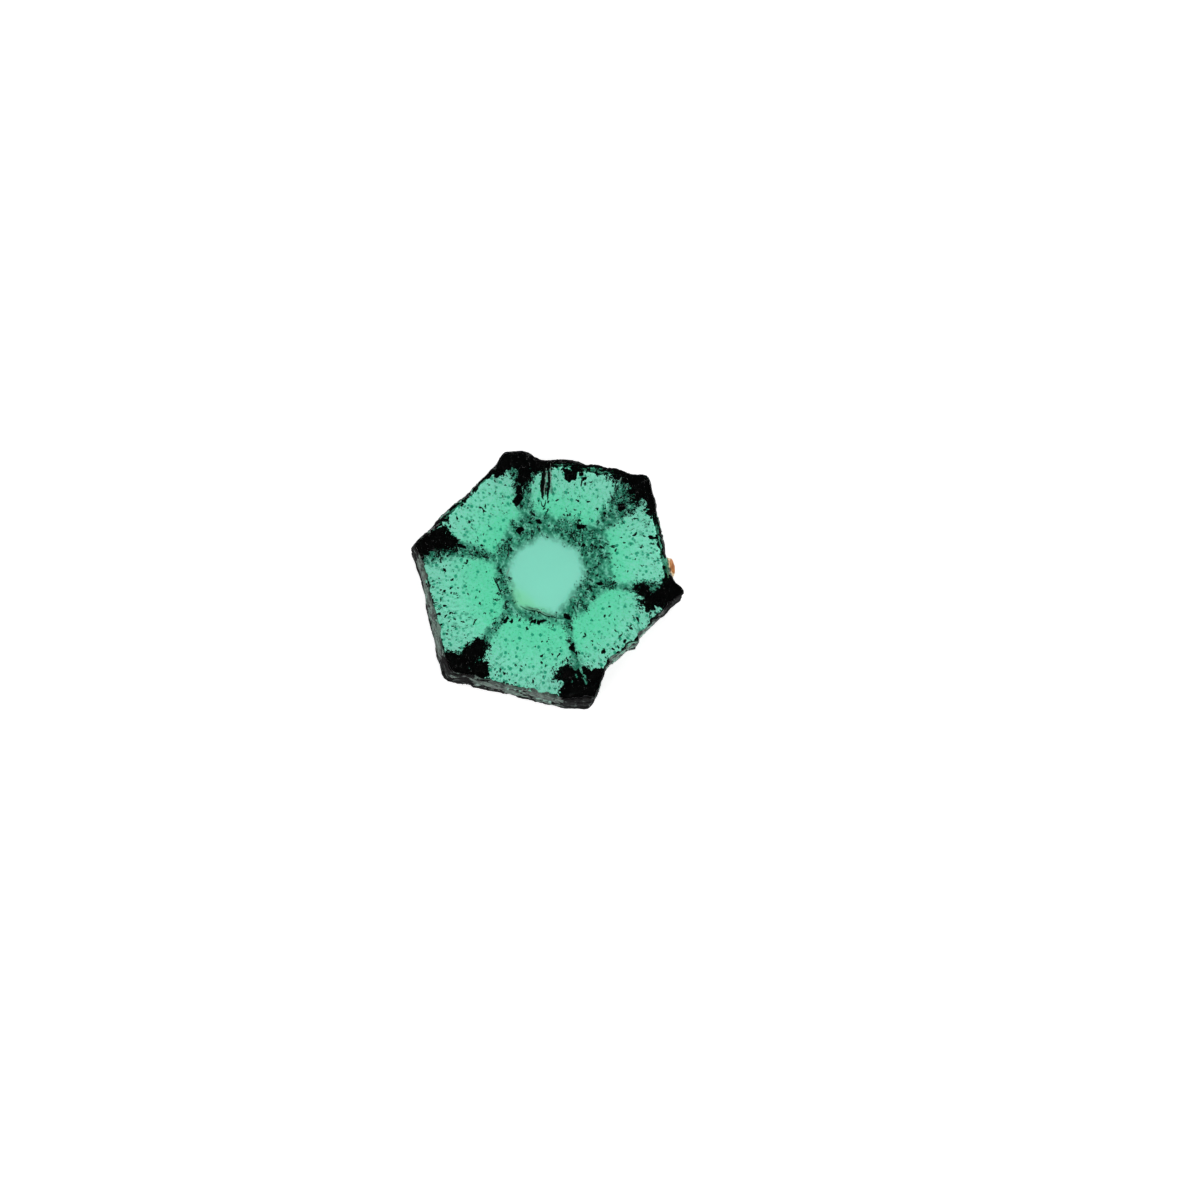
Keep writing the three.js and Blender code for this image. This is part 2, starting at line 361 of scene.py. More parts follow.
def wall_relief():
    """Fine relief of the natural prism faces: long streaks, grit, pits and edge chips."""
    rng = np.random.default_rng(7)
    shape = (STATIONS, LEVELS)
    streaks = bands(shape, (46, 2.4), 2, rng, wrap=0)
    grit = bands(shape, (5, 3), 2, rng, wrap=0)
    pits = bands(shape, (11, 6), 2, rng, wrap=0)
    relief = 0.006 * streaks + 0.002 * grit - 0.018 * np.clip(pits - 1.2, 0, 1.5)
    to_edge = np.minimum(LEVEL_HEIGHTS, THICKNESS - LEVEL_HEIGHTS)[None, :]
    chips = bands((STATIONS, 2), (9, 1), 3, rng, wrap=0)
    chips = np.where(LEVEL_HEIGHTS[None, :] > THICKNESS / 2, chips[:, :1], chips[:, 1:])
    chips = np.clip(chips - 0.35, 0, 2)
    return relief - 0.018 * chips * np.exp(-((to_edge / 0.05) ** 2))


def without_rust(radius):
    """The wall without the rusty grain's bump, straight from one side of it to the other."""
    radius = radius.copy()
    first, last = (round((RUST_AT + turn) / 360 * STATIONS) for turn in (-5.5, 5.5))
    share = (np.arange(last - first) / (last - first))[:, None]
    radius[first:last] = radius[first] * (1 - share) + radius[last] * share
    return radius


WALL = without_rust(read_wall()) + wall_relief()
WALL_MID = WALL[:, LEVELS // 3 : -LEVELS // 3].mean(1)


# ---------------------------------------------------------------- meshes
def add_object(name, points, faces, material, smooth=True):
    """A mesh object. Its points are given in millimetres."""
    mesh = bpy.data.meshes.new(name)
    mesh.from_pydata((np.asarray(points) * MM).tolist(), [], [tuple(f) for f in faces])
    mesh.polygons.foreach_set("use_smooth", [smooth] * len(mesh.polygons))
    mesh.materials.append(material)
    mesh.update()
    item = bpy.data.objects.new(name, mesh)
    bpy.context.scene.collection.objects.link(item)
    return item


def add_piece(name, points, faces, material, smooth=True):
    """A piece of the slice, which rides on its one body."""
    piece = add_object(name, points, faces, material, smooth)
    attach(piece, "root")
    return piece


def wall_points(radius, heights):
    """Points of a grid of wall radii, station by station."""
    x = radius * np.cos(STATION_ANGLES)[:, None]
    y = radius * np.sin(STATION_ANGLES)[:, None]
    z = np.broadcast_to(heights[None, :], radius.shape)
    return np.stack([x, y, z], axis=-1).reshape(-1, 3)


def grid_faces(columns, rows):
    """Quads of a grid that closes on itself round its columns, facing away from the axis."""
    i = np.arange(columns)[:, None]
    j = np.arange(rows - 1)[None, :]
    following = (i + 1) % columns
    quads = [i * rows + j, following * rows + j, following * rows + j + 1, i * rows + j + 1]
    return np.stack(np.broadcast_arrays(*quads), axis=-1).reshape(-1, 4)


def crystal_body(material):
    """The clear stone: the rough wall closed by two flat polished faces."""
    points = wall_points(WALL, LEVEL_HEIGHTS)
    faces = grid_faces(STATIONS, LEVELS).tolist()
    walls = len(faces)
    lower, upper = len(points), len(points) + 1
    points = np.vstack([points, [[0, 0, 0], [0, 0, THICKNESS]]])
    for i in range(STATIONS):
        following = (i + 1) % STATIONS
        faces.append((lower, following * LEVELS, i * LEVELS))
        faces.append((upper, (i + 1) * LEVELS - 1, (following + 1) * LEVELS - 1))
    body = add_piece("crystal_body", points, faces, material)
    body.data.polygons.foreach_set("use_smooth", [k < walls for k in range(len(faces))])
    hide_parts(SLICE)


# A regular icosahedron, the start of each grain, and an octahedron, the start of each speck.
GOLDEN = (1 + math.sqrt(5)) / 2
GRAIN_POINTS = np.array(
    [np.roll((x, y * GOLDEN, 0), k) for k in range(3) for y in (1, -1) for x in (-1, 1)]
) / math.hypot(1, GOLDEN)
GRAIN_FACES = np.array(
    [(0, 11, 5), (0, 5, 1), (0, 1, 7), (0, 7, 10), (0, 10, 11),
     (1, 5, 9), (5, 11, 4), (11, 10, 2), (10, 7, 6), (7, 1, 8),
     (3, 9, 4), (3, 4, 2), (3, 2, 6), (3, 6, 8), (3, 8, 9),
     (4, 9, 5), (2, 4, 11), (6, 2, 10), (8, 6, 7), (9, 8, 1)]
)
SPECK_POINTS = np.array([(1, 0, 0), (0, 1, 0), (-1, 0, 0), (0, -1, 0), (0, 0, 1), (0, 0, -1)])
SPECK_FACES = np.array(
    [(i, (i + 1) % 4, 4) for i in range(4)] + [((i + 1) % 4, i, 5) for i in range(4)]
)


def grains(name, centres, halves, angles, material, rng, fine=False):
    """One mesh of many small ragged grains: middles, half sizes and directions in the plane."""
    points, faces = (SPECK_POINTS, SPECK_FACES) if fine else (GRAIN_POINTS, GRAIN_FACES)
    count, corners = len(centres), len(points)
    ragged = 1 + rng.uniform(-0.45, 0.35, (count, corners, 1))
    local = points[None] * ragged * halves[:, None, :]
    c, s = np.cos(angles)[:, None], np.sin(angles)[:, None]
    x = local[:, :, 0] * c - local[:, :, 1] * s
    y = local[:, :, 0] * s + local[:, :, 1] * c
    points = np.stack([x, y, local[:, :, 2]], axis=-1) + centres[:, None, :]
    faces = faces[None] + (np.arange(count) * corners)[:, None, None]
    points, faces = points.reshape(-1, 3), faces.reshape(-1, 3)
    add_piece(name, points, faces, material, smooth=False)


# ---------------------------------------------------------------- black inclusions
CLOUD_STEP = 0.02


def cloud(cell, rng):
    """Patchy noise over the slice, about 0 on average. cell is its grain size."""
    spread = [int((HIGH[k] - LOW[k]) / CLOUD_STEP) + 2 for k in range(2)]
    return bands(spread, (cell / CLOUD_STEP,) * 2, 3, rng, falloff=0.8)


def read_cloud(values, x, y):
    """The cloud's value at each point."""
    i = ((x - LOW[0]) / CLOUD_STEP).astype(int)
    j = ((y - LOW[1]) / CLOUD_STEP).astype(int)
    return values[i, j]


def scatter(density, count, rng):
    """Random points in the slice, in patches, kept with the chance that density gives."""
    patches = cloud(0.2, rng)
    kept = []
    while sum(len(k) for k in kept) < count:
        tried = rng.uniform(LOW, HIGH, (60000, 3))
        x, y = tried[:, 0], tried[:, 1]
        depth = at_angle(WALL_MID, x, y) - np.hypot(x, y)
        chance = np.where(depth > 0.03, density(*to_layout(*tried.T), depth), 0)
        chance = chance * np.clip(0.4 + 0.85 * read_cloud(patches, x, y), 0.02, 1)
        kept.append(tried[rng.random(len(tried)) < chance])
    found = np.vstack(kept)[:count]
    found[:, 2] = np.clip(found[:, 2], 0.05, THICKNESS - 0.05)
    return found


def growth_direction(x, y):
    """Direction in which the crystal grew at a point: square to the nearest side."""
    looks = np.radians(list(CRUST))
    return looks[np.argmax(np.cos(np.arctan2(y, x)[:, None] - looks), axis=1)]


def within_wall(centres, reach):
    """Which grains are wholly inside the stone."""
    wall = at_angle(WALL.min(1), centres[:, 0], centres[:, 1])
    return np.hypot(centres[:, 0], centres[:, 1]) + reach < wall


def speck_set(name, density, blobs, each, reach, size, stretch, material, seed, fine=True):
    """Loose clumps of grains. reach is the clumps' and size the grains' half width, both as
    the smallest and the largest."""
    rng = np.random.default_rng(seed)
    middles = np.repeat(scatter(density, blobs, rng), each, axis=0)
    count = len(middles)
    reaches = np.repeat(reach[0] * (reach[1] / reach[0]) ** rng.random(blobs), each)
    ahead = growth_direction(middles[:, 0], middles[:, 1])
    along, aside = rng.normal(0, 1, (2, count)) * reaches * np.array([[0.9], [0.5]])
    centres = middles + np.stack([
        along * np.cos(ahead) - aside * np.sin(ahead),
        along * np.sin(ahead) + aside * np.cos(ahead),
        rng.normal(0, 0.6, count) * reaches,
    ], axis=1)
    widths = size[0] * (size[1] / size[0]) ** (rng.random(count) ** 1.6)
    centres[:, 2] = np.clip(centres[:, 2], widths + 0.004, THICKNESS - widths - 0.004)
    lengths = widths * rng.uniform(1, stretch, count)
    halves = np.stack([lengths, widths, widths * rng.uniform(0.6, 1.2, count)], axis=1)
    angles = ahead + rng.normal(0, 0.6, count)
    kept = within_wall(centres, lengths)
    grains(name, centres[kept], halves[kept], angles[kept], material, rng, fine)


def near_rim(depth, reach):
    """1 at the wall and above it, fading over about this reach below it."""
    return np.exp(-np.maximum(depth, 0) / reach)


def sector_density(x, y, depth):
    """Few specks beside the dusty zone, many near the wall."""
    clear = fade((outside(RING_EDGES, x, y) - 0.02) / 0.7)
    beyond_core = outside(CORE_EDGES, x, y) > 0.1
    return np.clip(0.06 + clear * (0.11 + 0.70 * near_rim(depth, 0.3)), 0, 1) * beyond_core


def coarse_density(x, y, depth):
    """A few everywhere but in the core, more outside the dusty zone."""
    outer = fade((outside(RING_EDGES, x, y) + 0.2) / 0.6)
    return np.clip(0.15 + 0.4 * outer, 0, 1) * (outside(CORE_EDGES, x, y) > 0.05)


def dusty_density(x, y, depth):
    """Inside the ring round the core and along the arms, thinning out beside them."""
    ring = 1 - fade((outside(RING_EDGES, x, y) + 0.08) / 0.26)
    core = fade((outside(CORE_EDGES, x, y) + 0.04) / 0.24)
    arms = 1 - fade((arm_distance(x, y) + 0.02) / 0.10)
    return np.clip(np.maximum(ring * 0.75, arms) * core, 0, 1)


RIM_WALL = side_share(RIM, STATION_ANGLES)


def corner_density(x, y, depth):
    """The fringe round the solid shale, and the rim's dark band."""
    fringe = 1 - fade((shale_distance(x, y) - 0.02) / 0.22)
    for a, b, half in NEEDLES:
        fringe = fringe * fade((segment_distance(x, y, a, b)[0] - 0.6 * half) / half)
    rim = near_rim(depth - 0.03, 0.06) * np.clip(1 - 6 * at_angle(RIM_WALL, x, y), 0.03, 1)
    return np.clip(np.maximum(fringe, rim), 0, 1)


def ellipse_distance(offsets, halves):
    """About the distance beyond an ellipse or ellipsoid: negative inside it."""
    share = np.sqrt(sum((o / h) ** 2 for o, h in zip(offsets, halves)))
    slope = np.sqrt(sum((o / h**2) ** 2 for o, h in zip(offsets, halves)))
    return (share - 1) * share / np.maximum(slope, 1e-6)


def turned_offsets(x, y, middle_x, middle_y, direction):
    """How far a point is from a middle, along a direction in degrees and across it."""
    turn = math.radians(direction)
    u = (x - middle_x) * math.cos(turn) + (y - middle_y) * math.sin(turn)
    v = (y - middle_y) * math.cos(turn) - (x - middle_x) * math.sin(turn)
    return u, v


def shale_distance(x, y):
    """About the distance beyond the nearest of the large bodies of shale."""
    found = [
        ellipse_distance(turned_offsets(x, y, middle_x, middle_y, direction), (long, wide))
        for middle_x, middle_y, long, wide, direction in SHALE
    ]
    return np.min(found, axis=0)


VOXEL = 0.02
RAG = 0.06  # how ragged the shale's edges are


def shale_level(x, y, depth, rim):
    """Roughly the distance beyond the large shale masses, on one level of the slice."""
    in_core = np.maximum(0.1 - outside(CORE_EDGES, x, y), 0) * 3
    large = np.minimum.reduce([
        shale_distance(x, y),
        np.maximum(arm_distance(x, y), 0) * 0.6 + 0.165,
        np.maximum(outside(RING_EDGES, x, y), 0) * 0.8 + 0.2,
        np.maximum(depth, 0) * 0.8 + rim,
    ]) + in_core
    for a, b, half in NEEDLES:
        large = np.maximum(large, 3.0 * (half - segment_distance(x, y, a, b)[0]))
    return large


def small_shale_level(x, y, z, ragged):
    """The same for the small bodies, each a ragged ellipsoid."""
    nearest = np.full(x.shape, 1.0)
    for middle_x, middle_y, share, long, wide, direction in SMALL_SHALE:
        u, v = turned_offsets(x, y, middle_x, middle_y, direction)
        away = ellipse_distance((u, v, z - share * THICKNESS), (long, wide, 0.16))
        nearest = np.minimum(nearest, away + 0.4 * wide * ragged)
    return nearest


def shale_bodies(material):
    """The solid black masses as one ragged surface for each arm's part of the slice."""
    rng = np.random.default_rng(21)
    shape = tuple(int(n) for n in np.ceil((HIGH - LOW) / VOXEL).astype(int) + 3)
    steps = [LOW[k] + (np.arange(shape[k]) - 1) * VOXEL for k in range(3)]
    x, y = np.meshgrid(steps[0], steps[1], indexing="ij")
    depth = at_angle(WALL_MID, x, y) - np.hypot(x, y)
    rim = at_angle(RIM_WALL, x, y)
    ragged = bands(shape, (6, 6, 18), 3, rng, falloff=0.8)
    field = np.zeros(shape, np.float32)
    for k, z in enumerate(steps[2]):
        place = to_layout(x, y, z)
        large = shale_level(*place, depth, rim) + RAG * ragged[:, :, k]
        small = small_shale_level(*place, z, ragged[:, :, k])
        skin = np.maximum(max(0.008 - z, z - (THICKNESS - 0.008)), 0.02 - depth)
        field[:, :, k] = np.maximum(np.minimum(large, small), skin)
    towards = np.array([math.atan2(arm[-1][1], arm[-1][0]) for arm in ARMS])
    nearest = np.argmax(np.cos(np.arctan2(y, x)[:, :, None] - towards), axis=2)
    for k in range(len(ARMS)):
        part = np.where((nearest == k)[:, :, None], field, 1.0).astype(np.float32)
        grid = openvdb.FloatGrid(1.0)
        grid.copyFromArray(part)
        points, triangles, quads = grid.convertToPolygons(0.0, 0.2)
        points = points * VOXEL + LOW - VOXEL
        faces = [*triangles.tolist(), *quads.tolist()]
        add_piece(f"shale_{k + 1}", points, faces, material)


def inclusions(shale, dust, green):
    """All the dark matter that the crystal grew round."""
    shale_bodies(shale)
    speck_set("sector_specks", sector_density, 250, 5, (0.010, 0.034), (0.005, 0.016), 2.2, green, 31,
              fine=False)
    speck_set("fine_specks", sector_density, 900, 1, (0.01, 0.02), (0.003, 0.011), 2.6, green, 37)
    speck_set("arm_dust", dusty_density, 1050, 8, (0.020, 0.075), (0.006, 0.019), 2.0, dust, 32)
    speck_set("corner_dust", corner_density, 1500, 5, (0.015, 0.070), (0.005, 0.022), 2.4, dust, 33)
    speck_set("coarse_specks", coarse_density, 85, 2, (0.012, 0.03), (0.010, 0.030), 2.4, dust, 35,
              fine=False)
    large_flecks(dust)


def large_flecks(material):
    """Each named fleck is a few overlapping splinters."""
    rng = np.random.default_rng(34)
    flecks = np.array(FLECKS)
    repeats = 5
    centres = np.repeat(flecks[:, :3], repeats, axis=0)
    centres[:, 2] *= THICKNESS
    centres[:, :2] -= (centres[:, 2:] - THICKNESS / 2) * LEAN
    halves = np.repeat(flecks[:, [3, 4, 4]], repeats, axis=0)
    angles = np.radians(np.repeat(flecks[:, 5], repeats))
    slide = rng.uniform(-0.5, 0.5, len(centres)) * halves[:, 0]
    centres[:, 0] += slide * np.cos(angles)
    centres[:, 1] += slide * np.sin(angles)
    centres += rng.normal(0, 0.4, centres.shape) * halves[:, 1:2]
    halves = halves * rng.uniform(0.4, 0.8, (len(centres), 1))
    angles = angles + rng.normal(0, 0.3, len(angles))
    kept = within_wall(centres, halves[:, 0])
    grains("large_flecks", centres[kept], halves[kept], angles[kept], material, rng)


def along(path, t):
    """Point at share t of a path, and the direction there."""
    lengths = [math.dist(a, b) for a, b in zip(path, path[1:])]
    left = t * sum(lengths)
    for (a, b), length in zip(zip(path, path[1:]), lengths):
        if left <= length or b == path[-1]:
            share = min(left / length, 1)
            direction = (Vector(b) - Vector(a)).normalized()
            return Vector(a).lerp(Vector(b), share), direction
        left -= length


def cracks(name, sheets, material):
    """Thin upright sheets under the polished face, widest in the middle, with ragged edges."""
    rng = np.random.default_rng(41)
    points, faces = [], []
    for path, widest, depth in sheets:
        steps = int(sum(math.dist(a, b) for a, b in zip(path, path[1:])) / 0.018)
        first = len(points)
        for k in range(steps + 1):
            t = k / steps
            middle, direction = along(path, t)
            side = Vector((-direction.y, direction.x))
            middle = middle + side * rng.normal(0, 0.1) * widest
            half = 0.002 + widest * math.sin(math.pi * t) ** 0.6 * rng.uniform(0.65, 1)
            low = depth * (0.4 + 0.6 * math.sin(math.pi * t)) * rng.uniform(0.8, 1)
            for across, below in ((-half, 0.012), (half, 0.015), (0.4 * half, 0.02 + low)):
                spot = middle + side * across - Vector(LEAN) * (THICKNESS / 2 - below)
                points.append((spot.x, spot.y, THICKNESS - below))
        for k in range(steps):
            a = first + 3 * k
            for i in range(3):
                j = (i + 1) % 3
                faces.append((a + i, a + j, a + 3 + j, a + 3 + i))
        faces.append((first + 2, first + 1, first))
        faces.append((first + 3 * steps, first + 3 * steps + 1, first + 3 * steps + 2))
    add_piece(name, points, faces, material, smooth=False)


# ---------------------------------------------------------------- the crust on the wall
def onto_outline(points, rise):
    """Moves each point just outside a layer to where the layer's rise would be 0."""
    points = points.reshape(STATIONS, LEVELS, 3)
    pull, count = np.zeros_like(points), np.zeros(rise.shape)
    for turn in (-1, 0, 1):
        for climb in (-1, 0, 1):
            beside = np.roll(rise, (-turn, -climb), (0, 1))
            share = np.where((rise < 0) & (beside > 0), rise / (rise - beside + 1e-9), 0)
            if climb:
                share[:, -1 if climb > 0 else 0] = 0
            pull += share[:, :, None] * (np.roll(points, (-turn, -climb), (0, 1)) - points)
            count += share > 0
    return (points + pull / np.maximum(count, 1)[:, :, None]).reshape(-1, 3)


def wall_layer(name, rise, reach, material):
    """A closed thin layer on the wall wherever rise is positive. reach is its depth in the wall."""
    following = np.roll(rise, -1, 0)
    corners = [rise[:, :-1], following[:, :-1], rise[:, 1:], following[:, 1:]]
    shown = np.maximum.reduce(corners) > 0
    heights = np.clip(LEVEL_HEIGHTS, 0.005, THICKNESS - 0.005)
    outer = onto_outline(wall_points(WALL + np.maximum(rise, 0), heights), rise)
    inner = onto_outline(wall_points(WALL - reach, heights), rise)
    quads = grid_faces(STATIONS, LEVELS).reshape(STATIONS, LEVELS - 1, 4)
    count = STATIONS * LEVELS
    faces = quads[shown].tolist() + (quads[shown][:, ::-1] + count).tolist()
    for i, j in zip(*np.nonzero(shown)):
        a, b, c, d = quads[i, j]
        for first, second, goes_on in (
            (a, d, shown[i - 1, j]),
            (c, b, shown[(i + 1) % STATIONS, j]),
            (b, a, j > 0 and shown[i, j - 1]),
            (d, c, j < LEVELS - 2 and shown[i, j + 1]),
        ):
            if not goes_on:
                faces.append((first, second, second + count, first + count))
    used = np.unique([v for f in faces for v in f])
    renumbered = np.zeros(2 * count, int)
    renumbered[used] = np.arange(len(used))
    points = np.vstack([outer, inner])[used]
    faces = [tuple(renumbered[list(f)]) for f in faces]
    add_piece(name, points, faces, material)


def above(noise, share):
    """The noise, moved so that this share of it is more than 0."""
    return noise - np.quantile(noise, np.clip(1 - share, 0, 1))


def near_rust():
    """1 at the rusty grain's place on the wall, and 0 farther than its edge."""
    turned = np.radians(RUST_AT) - STATION_ANGLES
    aside = WALL_MID * ((turned + np.pi) % (2 * np.pi) - np.pi)
    away = np.hypot(aside[:, None], 0.6 * (LEVEL_HEIGHTS[None, :] - RUST_HEIGHT))
    return 1 - fade((away - 0.20) / 0.06)


def crust(material):
    """Dark rock left on the wall: all round the corners, and along one edge or the other."""
    rng = np.random.default_rng(51)
    shape = (STATIONS, LEVELS)
    up = LEVEL_HEIGHTS[None, :] / THICKNESS
    low, middle, high = side_share(CRUST, STATION_ANGLES).T[:, :, None]
    cover = middle + (low - middle) * (1 - fade((up - 0.10) / 0.12))
    cover += (high - middle) * fade((up - 0.74) / 0.12)
    x, y = WALL_MID * np.cos(STATION_ANGLES), WALL_MID * np.sin(STATION_ANGLES)
    to_shale = shale_distance(x, y)[:, None]
    over_shale = 1 - fade((to_shale + 0.02) / 0.16)
    beside_shale = 0.4 * (1 - fade((to_shale - 0.05) / 0.28))
    cover = np.maximum(cover, np.maximum(over_shale, beside_shale))
    patches = bands(shape, (13, 7), 3, rng, wrap=0, falloff=0.8)
    lumps = bands(shape, (9, 4), 3, rng, wrap=0, falloff=0.7)
    rise = 0.016 * np.tanh(0.8 * above(patches, cover)) + 0.003 * lumps
    rise = np.clip(rise, -0.03, 0.022) - 0.1 * near_rust()
    wall_layer("wall_crust", rise, 0.035, material)
    return rise


def wall_grit(crust_rise, material):
    """Black grains that stick to the wall, most of them beside the crust."""
    rng = np.random.default_rng(53)
    count = 5500
    level_share = np.gradient(LEVEL_HEIGHTS)[None, :]
    chance = (0.05 + fade(1 + crust_rise / 0.010)) * (crust_rise > -0.05) * level_share
    spots = rng.choice(chance.size, count, p=(chance / chance.sum()).ravel())
    i, j = np.unravel_index(spots, chance.shape)
    widths = 0.004 * (0.018 / 0.004) ** (rng.random(count) ** 1.8)
    radius = WALL[i, j] + np.maximum(crust_rise[i, j], 0) - 0.3 * widths
    turn = STATION_ANGLES[i] + rng.uniform(0, 1, count) * STATION_ANGLES[1]
    height = LEVEL_HEIGHTS[j] + rng.normal(0, 0.01, count)
    height = np.clip(height, 0.008 + widths, THICKNESS - 0.008 - widths)
    centres = np.stack([radius * np.cos(turn), radius * np.sin(turn), height], axis=1)
    halves = widths[:, None] * rng.uniform(0.7, 1.4, (count, 3)) * (0.5, 1.1, 0.8)
    grains("wall_grit", centres, halves, turn, material, rng)


def frosted_skin(material):
    """Flecks of the dull grey skin of the natural faces, drawn out along the slice."""
    rng = np.random.default_rng(52)
    shape = (STATIONS, LEVELS)
    up = LEVEL_HEIGHTS[None, :] / THICKNESS
    share = side_share(SKIN, STATION_ANGLES)[:, None] * (0.7 + 0.5 * fade(up))
    patches = bands(shape, (22, 6), 3, rng, wrap=0, falloff=0.8)
    lumps = bands(shape, (12, 4), 3, rng, wrap=0, falloff=0.8)
    rise = 0.005 * np.tanh(1.5 * above(patches, share)) + 0.001 * lumps
    wall_layer("frosted_skin", rise - 0.1 * near_rust(), 0.008, material)


# Distance from the axis to the wall under the rusty grain.
RUST_FOOT = WALL[round(RUST_AT / 360 * STATIONS), np.argmin(abs(LEVEL_HEIGHTS - RUST_HEIGHT))]


def iron_grain(material):
    """The rusty grain beside the knob: a lumpy drop pressed against the wall."""
    rng = np.random.default_rng(61)
    rows, columns = 28, 44
    angle = math.radians(RUST_AT)
    outwards = np.array((math.cos(angle), math.sin(angle), 0))
    sideways = np.array((-math.sin(angle), math.cos(angle), 0))
    foot = (RUST_FOOT - 0.01) * outwards
    foot[2] = RUST_HEIGHT
    half_out, half_aside, half_up = RUST_HALVES
    lumps = bands((columns, rows), (8, 6), 3, rng, wrap=0)
    points = []
    for i in range(columns):
        around = 2 * math.pi * i / columns
        for j in range(rows):
            tilt = math.pi * (j + 0.5) / rows
            size = 1 + 0.05 * lumps[i, j] * math.sin(tilt)
            # The side towards the stone is pressed flat.
            out = (half_out if tilt < math.pi / 2 else RUST_BACK) * size * math.cos(tilt)
            aside = half_aside * size * math.sin(tilt) * math.cos(around)
            up = half_up * size * math.sin(tilt) * math.sin(around)
            points.append(foot + out * outwards + aside * sideways + np.array((0, 0, up)))
    faces = grid_faces(columns, rows)[:, ::-1].tolist()
    faces.append(tuple(i * rows for i in range(columns)))
    faces.append(tuple((columns - 1 - i) * rows + rows - 1 for i in range(columns)))
    add_piece("iron_stained_grain", points, faces, material)


# ---------------------------------------------------------------- materials
def plug(socket, value):
    """Links a field to an input of a node, or sets a plain value on it."""
    if isinstance(value, Field):
        socket.id_data.links.new(value.socket, socket)
    elif socket.type == "RGBA":
        socket.default_value = (*value, 1)
    else:
        socket.default_value = value


def step(tree, kind, values, output=0, **settings):
    """Adds a node with these input values and settings, and gives one of its outputs."""
    node = tree.nodes.new(kind)
    for key, value in settings.items():
        setattr(node, key, value)
    for key, value in values.items():
        plug(node.inputs[key], value)
    return Field(node.outputs[output])


def is_vector(value):
    """Whether a value is a vector or a colour, and not a number."""
    return isinstance(value, tuple) or (isinstance(value, Field) and value.socket.type != "VALUE")


def joined(operation):
    """The sum, product or the like of a field and another value, as vectors if one of them is."""

    def join(field, other):
        kind = "ShaderNodeMath"
        if is_vector(field) or is_vector(other):
            kind = "ShaderNodeVectorMath"
            other = (other,) * 3 if isinstance(other, (int, float)) else other
        return field.step(kind, {0: field, 1: other}, operation=operation)

    return join


class Field:
    """A number, vector or colour that nodes work out at each place. Each sum adds its nodes."""

    def __init__(self, socket):
        self.socket = socket

    __add__ = joined("ADD")
    __sub__ = joined("SUBTRACT")
    __mul__ = joined("MULTIPLY")
    __truediv__ = joined("DIVIDE")

    def step(self, kind, values, output=0, **settings):
        return step(self.socket.id_data, kind, values, output, **settings)

    def math(self, operation, *others, **settings):
        """One of the operations of the Math node."""
        values = dict(enumerate((self, *others)))
        return self.step("ShaderNodeMath", values, operation=operation, **settings)

    def dot(self, other):
        """The dot product with a fixed vector."""
        return self.step("ShaderNodeVectorMath", {0: self, 1: other}, 1, operation="DOT_PRODUCT")

    def times(self, direction):
        """This many times a fixed vector."""
        return self.step("ShaderNodeVectorMath", {0: direction, "Scale": self}, operation="SCALE")

    def length(self):
        return self.step("ShaderNodeVectorMath", {0: self}, 1, operation="LENGTH")

    def axis(self, name):
        """The X, Y or Z of a vector."""
        return self.step("ShaderNodeSeparateXYZ", {0: self}, name)

    def ramp(self, low, high, to_low=0.0, to_high=1.0):
        """Goes smoothly from to_low at low to to_high at high, and is flat beyond them."""
        values = {"Value": self, "From Min": low, "From Max": high, "To Min": to_low, "To Max": to_high}
        return self.step("ShaderNodeMapRange", values, interpolation_type="SMOOTHSTEP")

    def mix(self, first, second):
        """The first colour where this is 0, and the second where it is 1."""
        return self.step("ShaderNodeMix", {0: self, 6: first, 7: second}, 2, data_type="RGBA")

    def noise(self, scale, detail=2.0, roughness=0.5, stretch=None, output="Fac"):
        """Noise from 0 to 1 at this place. scale is in features a millimetre."""
        place = self * stretch if stretch else self
        values = {"Vector": place, "Scale": scale, "Detail": detail, "Roughness": roughness}
        return self.step("ShaderNodeTexNoise", values, output)

    def wander(self, scale, detail, roughness, reach):
        """This place, moved sideways by noise."""
        shift = self.noise(scale, detail, roughness, output="Color") - (0.5, 0.5, 0.5)
        return self + shift * (reach, reach, 0.0)

    def bump(self, height, strength):
        """The normal of a relief of this shape. height is in millimetres."""
        return self.step("ShaderNodeBump", {"Height": self, "Distance": height * MM, "Strength": strength})


class Material:
    """A material with one Principled surface. Its field named place is in millimetres."""

    def __init__(self, name):
        self.data = bpy.data.materials.new(name)
        self.data.use_nodes = True
        self.tree = self.data.node_tree
        self.place = step(self.tree, "ShaderNodeTexCoord", {}, "Object") * (1 / MM)

    def finish(self, **values):
        """Sets the surface's inputs, and gives the material."""
        surface = self.tree.nodes["Principled BSDF"]
        for key, value in values.items():
            plug(surface.inputs[key.replace("_", " ")], value)
        return self.data


def outside_field(edges, place):
    """Distance beyond a convex outline, as a field."""
    beyond = (place.dot((*normal, 0)) - distance for normal, distance in edges)
    return reduce(lambda most, each: most.math("MAXIMUM", each), beyond)


def arm_fields(place):
    """Distance beyond the edge of each stretch of each arm, as fields."""
    for arm in ARMS:
        for (ax, ay, half), (bx, by, far_half) in zip(arm, arm[1:]):
            dx, dy = bx - ax, by - ay
            squared = dx * dx + dy * dy
            from_a = place - (ax, ay, 0)
            along = from_a.dot((dx / squared, dy / squared, 0)).math("ADD", 0.0, use_clamp=True)
            away = (from_a - along.times((dx, dy, 0))).length()
            yield away - (along * (far_half - half) + half)


def turned_place(place, angle):
    """Distances from the crystal's axis towards this angle and sideways to it."""
    outwards = place.dot((math.cos(angle), math.sin(angle), 0))
    return outwards, place.dot((-math.sin(angle), math.cos(angle), 0))


def combined(x, y, z):
    """A vector of three fields."""
    return z.step("ShaderNodeCombineXYZ", {0: x, 1: y, 2: z})


